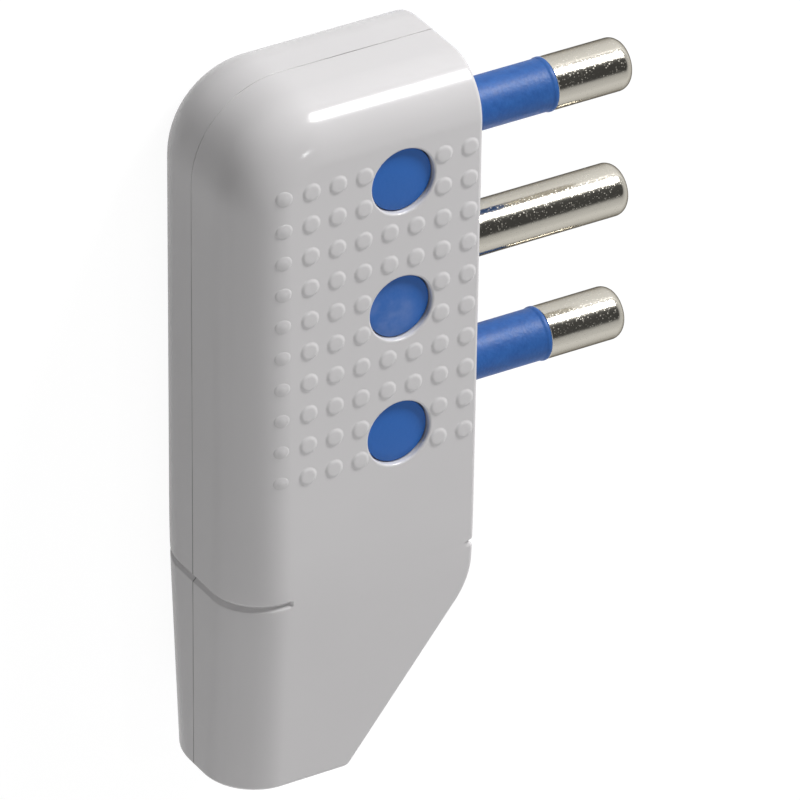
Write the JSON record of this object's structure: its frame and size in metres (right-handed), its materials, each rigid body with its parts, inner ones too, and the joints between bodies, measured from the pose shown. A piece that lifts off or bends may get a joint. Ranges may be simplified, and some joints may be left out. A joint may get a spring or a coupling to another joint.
{
  "type": "electrical plug",
  "caption": "Slim flat mains plug with round pins in a row, part-insulated outer pins, a dotted grip, round windows onto the pin carrier and a cable entry at the tapered end.",
  "frame": {"origin": "on the earth pin's axis, in the outer face of the carrier's face plate", "axes": "+X along the pins towards their tips, +Y towards the closed end, +Z out of the front face; the plug lies on its rear shell"},
  "size_m": [0.0447, 0.0703, 0.0174],
  "materials": {
    "white_plastic": "gloss",
    "blue_plastic": "satin",
    "nickel_plated_brass": "bright nickel",
    "zinc_plated_steel": "satin",
    "grey_plastic": "satin"
  },
  "bodies": {
    "root": {"front_shell": "white_plastic", "rear_shell": "white_plastic", "pin_carrier": "blue_plastic", "line_sleeve": "blue_plastic", "neutral_sleeve": "blue_plastic", "line_pin": "nickel_plated_brass", "neutral_pin": "nickel_plated_brass", "earth_pin": "nickel_plated_brass", "line_terminal_screw": "zinc_plated_steel", "earth_terminal_screw": "zinc_plated_steel", "neutral_terminal_screw": "zinc_plated_steel", "cable_clamp_screw_1": "zinc_plated_steel", "cable_clamp_screw_2": "zinc_plated_steel", "housing_screw_1": "zinc_plated_steel", "housing_screw_2": "zinc_plated_steel", "cable_clamp": "grey_plastic"}
  },
  "joints": []
}
